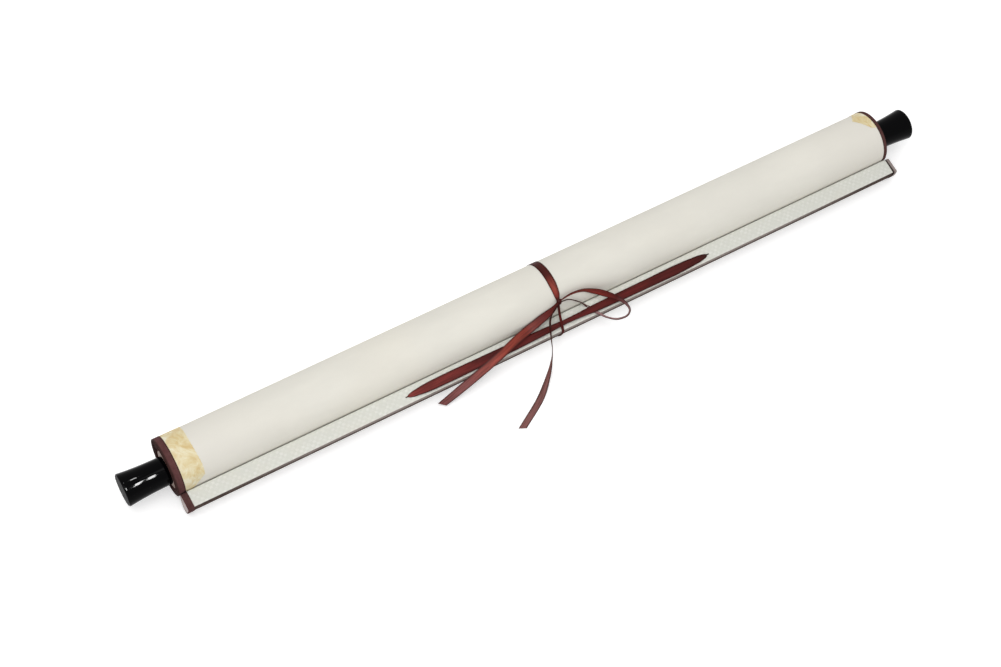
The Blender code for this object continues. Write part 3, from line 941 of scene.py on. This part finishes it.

# How each ribbon is coloured, by dye and by painted sheen and shade, as (share of its length, colour),
# and how it is gathered and cut
looks = {
    "knot": {"dyeAndPaintedLight": [(0, maroon), (1, brick)]},
    "tieTurn": {
        "dyeAndPaintedLight": [
            (0, (0.03, 0.005, 0.004)),
            (0.1, maroon),
            (0.2, dark),
            (0.78, dark),
            (0.87, (0.10, 0.016, 0.013)),
            (0.945, brick),
            (0.98, (0.26, 0.035, 0.028)),
            (1, dark),
        ],
        "pleats": 3,
        "cup": 0,
    },
    "tieLoop": {
        "dyeAndPaintedLight": [
            (0, maroon),
            (0.14, (0.25, 0.05, 0.036)),
            (0.26, (0.26, 0.034, 0.026)),
            (0.37, (0.11, 0.015, 0.013)),
            (0.42, (0.20, 0.08, 0.08)),
            (0.48, pale),
            (0.71, pale),
            (0.77, (0.10, 0.03, 0.027)),
            (1, dark),
        ],
        "pleats": 2,
        "cup": 0.1 * mm,
    },
    "tieTailLeft": {
        "dyeAndPaintedLight": [
            (0, dark),
            (0.12, maroon),
            (0.35, (0.30, 0.046, 0.028)),
            (0.6, brick),
            (0.8, rose),
            (1, rose),
        ],
        "pleats": 2,
        "cup": 0.12 * mm,
        "cut": 4 * mm,
    },
    "tieTailFront": {
        "dyeAndPaintedLight": [(0, dark), (0.25, (0.09, 0.018, 0.015)), (0.5, dusty), (1, dusty)],
        "pleats": 2,
        "cup": 0.12 * mm,
        "cut": 3.5 * mm,
    },
    "hangingRibbon": {
        # lighter toward its left end: painted sheen
        "dyeAndPaintedLight": [
            (0, thread),
            (0.012, (0.26, 0.040, 0.034)),
            (0.13, (0.215, 0.032, 0.027)),
            (0.24, (0.14, 0.016, 0.014)),
            (0.75, (0.14, 0.016, 0.014)),
            (0.97, dark),
            (1, thread),
        ],
        "pleats": 2,
        "cup": 0.15 * mm,
        "width": 7.9 * mm,
    },
}


def smooth(rows, perSpan):
    # a smooth curve through rows of numbers, with perSpan steps from each row to the next
    rows = np.array(rows, float)
    padded = np.vstack([2 * rows[0] - rows[1], rows, 2 * rows[-1] - rows[-2]])
    found = []
    for i in range(1, len(padded) - 2):
        a, b, c, d = padded[i - 1 : i + 3]
        for step in range(perSpan):
            t = step / perSpan
            bend = t * t * (a - 2.5 * b + 2 * c - 0.5 * d) + t**3 * (1.5 * (b - c) + 0.5 * (d - a))
            found.append(b + 0.5 * t * (c - a) + bend)
    found.append(rows[-1])
    return np.array(found)


def keepOut(point, half):
    # the point, moved out of the roll, the lath and the table by half a thickness and a gap
    x, y, z = point
    clear = roll["radius"] + half + ribbons["gap"] * 1.5
    reach = math.hypot(y, z)
    if reach < clear:
        y, z = y * clear / reach, z * clear / reach
    here = Vector((y, z)) - faceMiddle
    across, depth = here.dot(alongFace), here.dot(intoLath)
    margin = layer + half + ribbons["gap"]
    wide, deep = lath["half"] + margin, lath["shoulder"] + lathBack / 2
    if abs(across) < wide and -margin < depth < deep:
        if depth < lath["half"]:
            depth = -margin
        else:
            across = -wide
        y, z = inLath(across, depth)
    return Vector((x, y, max(z, restLevel + half + ribbons["gap"] / 2)))


def ribbonPiece(name, rails, node):
    # rails are (left, right, outward) at each step; where the ribbon is drawn narrow it is
    # gathered in pleats that stand outward, and elsewhere it is a little cupped; a cut end
    # slants, its right edge being the longer by as much as cut says
    look = looks[name]
    width = look.get("width", ribbons["width"])
    line = [(left + right) / 2 for left, right, _ in rails]
    travelled = travelledAlong(line)
    length = travelled[-1]
    along = (line[-1] - line[-2]).normalized()

    def place(step, v):
        left, right, outward = rails[step]
        drawn = max(0.0, 1 - (right - left).length / width)
        gathered = 0.5 - 0.5 * math.cos(math.tau * look["pleats"] * v)
        lift = ribbons["pleatDepth"] * drawn * gathered + look["cup"] * (1 - (2 * v - 1) ** 2)
        nearEnd = max(0.0, 1 - (length - travelled[step]) / ribbons["cutReach"])
        slant = look.get("cut", 0) * (v - 0.5) * nearEnd**2
        point = left.lerp(right, v) + outward * lift + along * slant
        point.z = max(point.z, restLevel + ribbons["thickness"])
        return middle + point

    piece = sheetPiece(name, travelled, ribbons["across"], width, place, ribbons["thickness"])
    material = makeSatin(name + "Satin", length, width, look["dyeAndPaintedLight"])
    settle(piece, material, [node], 60)
    kept = np.linspace(0, len(line) - 1, ribbons["pathPoints"]).round().astype(int)
    middle + line[0]
    [middle + line[i] for i in kept]


def looseRails(rows, perSpan=8):
    path = smooth(rows, perSpan)
    rails = []
    for i, (x, y, z, turn, share) in enumerate(path):
        ahead = path[min(i + 1, len(path) - 1), :3]
        behind = path[max(i - 1, 0), :3]
        along = Vector(ahead - behind).normalized()
        across = Matrix.Rotation(math.radians(turn), 3, along) @ along.cross(ribbons["facing"])
        half = across.normalized() * ribbons["width"] * share / 2
        point = Vector((x, y, z)) * mm
        left = keepOut(point - half, ribbons["thickness"] / 2)
        right = keepOut(point + half, ribbons["thickness"] / 2)
        outward = (right - left).cross(along).normalized()
        rails.append((left, right, outward))
    return rails


def hull(points):
    # the convex outline of (y, z) points, anticlockwise
    ordered = sorted((point.x, point.y) for point in points)
    chains = []
    for run in (ordered, ordered[::-1]):
        chain = []
        for point in run:
            while len(chain) > 1:
                (ay, az), (by, bz) = chain[-2:]
                if (by - ay) * (point[1] - az) - (bz - az) * (point[0] - ay) > 0:
                    break
                chain.pop()
            chain.append(point)
        chains += chain[:-1]
    return [Vector(point) for point in chains]


def turnRails():
    # the tie's turn round roll and lath, pulled straight from one to the other, knot to knot
    out = ribbons["gap"] + ribbons["thickness"] / 2
    around = woundSection(roll["radius"] + out + ribbons["turnSlack"], 0, 1, roll["segments"])
    corners = hull(around + lathOutline(layer + out))
    section = []
    for here, ahead in zip(corners, corners[1:] + corners[:1]):
        pieces = max(1, round((ahead - here).length / ribbons["turnStep"]))
        section += [here.lerp(ahead, i / pieces) for i in range(pieces)]
    knotAngle = math.atan2(ribbons["knotMiddle"].z, ribbons["knotMiddle"].y) % math.tau
    angles = [math.atan2(point.y, point.x) % math.tau for point in section]
    first = min(range(len(section)), key=lambda i: abs(angles[i] - knotAngle))
    section = section[first:] + section[: first + 1]
    given, givenX, givenShares = zip(*ribbons["turn"])
    rails = []
    for i, point in enumerate(section):
        angle = math.degrees(math.atan2(point.y, point.x)) % 360
        x = float(np.interp(angle, given, givenX)) * mm
        half = float(np.interp(angle, given, givenShares)) * ribbons["width"] / 2
        ahead = section[min(i + 1, len(section) - 1)]
        along = ahead - section[max(i - 1, 0)]
        outward = Vector((0, along.y, -along.x)).normalized()
        left = Vector((x - half, *point))
        rails.append((left, left + Vector((2 * half, 0, 0)), outward))
    return rails


def hangerRails():
    low = layer + ribbons["gap"] + ribbons["thickness"] / 2
    given, widths, offs = zip(*ribbons["hanger"])
    rails = []
    steps = ribbons["hangerSteps"]
    for step in range(steps + 1):
        share = 0.5 - 0.5 * math.cos(math.pi * step / steps)
        fromEnd = min(share, 1 - share)
        lift = low + ribbons["hangerRise"] * math.sin(math.pi * min(1.0, fromEnd * 6) / 2)
        half = float(np.interp(share, given, widths)) / 2 * mm
        off = float(np.interp(share, given, offs)) * mm
        x = ribbons["hangerFrom"] + (ribbons["hangerTo"] - ribbons["hangerFrom"]) * share
        left = Vector((x, *inLath(-half - off, -lift)))
        right = Vector((x, *inLath(half - off, -lift)))
        rails.append((left, right, Vector((0, -intoLath.x, -intoLath.y))))
    return rails


def makeKnot():
    # a pebble of ribbon drawn up in folds
    maker = bmesh.new()
    bmesh.ops.create_uvsphere(maker, u_segments=48, v_segments=32, radius=0.5)
    for vert in maker.verts:
        around = math.atan2(vert.co.y, vert.co.x)
        folds = 1 + 0.07 * math.sin(5 * around + 7 * vert.co.z) + 0.04 * math.sin(11 * vert.co.z)
        vert.co = Vector((vert.co.x * folds, vert.co.y * folds, vert.co.z))
    lean = Matrix.Rotation(ribbons["knotLean"], 4, "X")
    size = Matrix.Diagonal((*ribbons["knotSize"], 1))
    place = Matrix.Translation(ribbons["knotMiddle"]) @ lean @ size
    bmesh.ops.transform(maker, matrix=place, verts=maker.verts)
    for vert in maker.verts:
        vert.co = middle + keepOut(vert.co, ribbons["thickness"] / 2)
    bmesh.ops.recalc_face_normals(maker, faces=maker.faces)
    material = makeSatin("knotSatin", 10 * mm, 10 * mm, looks["knot"]["dyeAndPaintedLight"])
    return settle(addPiece("knot", maker), material, (), 60)


def makeTie():
    knot = makeKnot()
    ribbonPiece("tieTurn", turnRails(), "tie_ribbon")
    ribbonPiece("tieLoop", looseRails(ribbons["loop"]), "tie_ribbon")
    tailLeft = looseRails(ribbons["tailLeft"], 12)
    ribbonPiece("tieTailLeft", tailLeft, "tie_ribbon")
    tailFront = looseRails(ribbons["tailFront"], 12)
    ribbonPiece("tieTailFront", tailFront, "tie_ribbon")
    print("tie made")


def makeHanger():
    ribbonPiece("hangingRibbon", hangerRails(), "hanging_ribbon")
    print("hanging ribbon laid")


makeTie()
makeHanger()

goldSilk = makeGoldSilk()
lacquer = makeLacquer()
knobEnd = makeKnobEnd()
makeRoll()
makePatch("left", goldSilk)
makePatch("right", goldSilk)
makeRod()
makeKnob("left", lacquer, knobEnd)
makeKnob("right", lacquer, knobEnd)
makeLath()


# Floor, light and world

stage = {
    "floor": 0.8,
    "floorGlow": 0.47,  # what the camera and reflections see on top of the floor's own light
    "world": 0.715,
    "worldSeen": 1.0,
    "keyPower": 12.3,
    "keySize": 1.2,
    "keyPlace": Vector((-0.55, -0.6, 1.85)),
    # a small window's two panes and a strip, seen only as glints in the lacquer and the satin
    "glints": [
        {"place": Vector((-0.044, -0.809, 1.113)), "size": (0.046, 0.36), "turn": -14.7, "power": 14.0},
        {"place": Vector((0.042, -0.816, 1.079)), "size": (0.052, 0.36), "turn": -14.7, "power": 15.0},
        {"place": Vector((0.04, 0.177, 1.348)), "size": (0.14, 0.04), "turn": -26, "power": 2.6},
    ],
    "glintAim": Vector((-0.33, 0.0, 0.03)),
}


def seenRay(recipe):
    # 1 for a ray that shows the background: straight, in a reflection or through glass
    seen = recipe.node("LightPath", out=0)
    for out in (3, 6):
        other = recipe.node("LightPath", out=out)
        seen = recipe.node("Math", {"operation": "MAXIMUM"}, {0: seen, 1: other})
    return seen


def makeFloor():
    maker = bmesh.new()
    bmesh.ops.create_grid(maker, x_segments=1, y_segments=1, size=4.0)
    floor = addPiece("floor", maker)
    plain = {"Specular_IOR_Level": 0.0, "Emission_Strength": stage["floorGlow"]}
    shade = newMaterial("floorPaint", (stage["floor"],) * 3, 1.0, **plain)
    shade.paint("Emission Color", shade.mix(seenRay(shade), (0, 0, 0), (1, 1, 1)))
    floor.data.materials.append(shade.owner)


def addLamp(name, place, aim, power, size, turn=0.0):
    data = bpy.data.lights.new(name, "AREA")
    data.shape = "RECTANGLE"
    data.energy = power
    data.size, data.size_y = size
    lamp = bpy.data.objects.new(name, data)
    bpy.context.scene.collection.objects.link(lamp)
    lamp.location = place
    facing = (place - aim).to_track_quat("Z", "Y").to_matrix()
    lamp.rotation_euler = (facing @ Matrix.Rotation(math.radians(turn), 3, "Z")).to_euler()
    return lamp


def makeWorld():
    world = bpy.data.worlds.new("room")
    bpy.context.scene.world = world
    room = Recipe(world, "Background", {"Strength": 1.0})
    plain, seen = (stage["world"],) * 3, (stage["worldSeen"],) * 3
    room.paint("Color", room.mix(seenRay(room), plain, seen))


makeFloor()
makeWorld()
key = (stage["keySize"], stage["keySize"])
addLamp("key", stage["keyPlace"], Vector((0, 0, 0)), stage["keyPower"], key)
for number, glint in enumerate(stage["glints"]):
    aim, power, size = stage["glintAim"], glint["power"], glint["size"]
    lamp = addLamp(f"glint{number}", glint["place"], aim, power, size, glint["turn"])
    lamp.visible_diffuse = False
bpy.context.scene.view_settings.view_transform = "Standard"
print("stage lit")
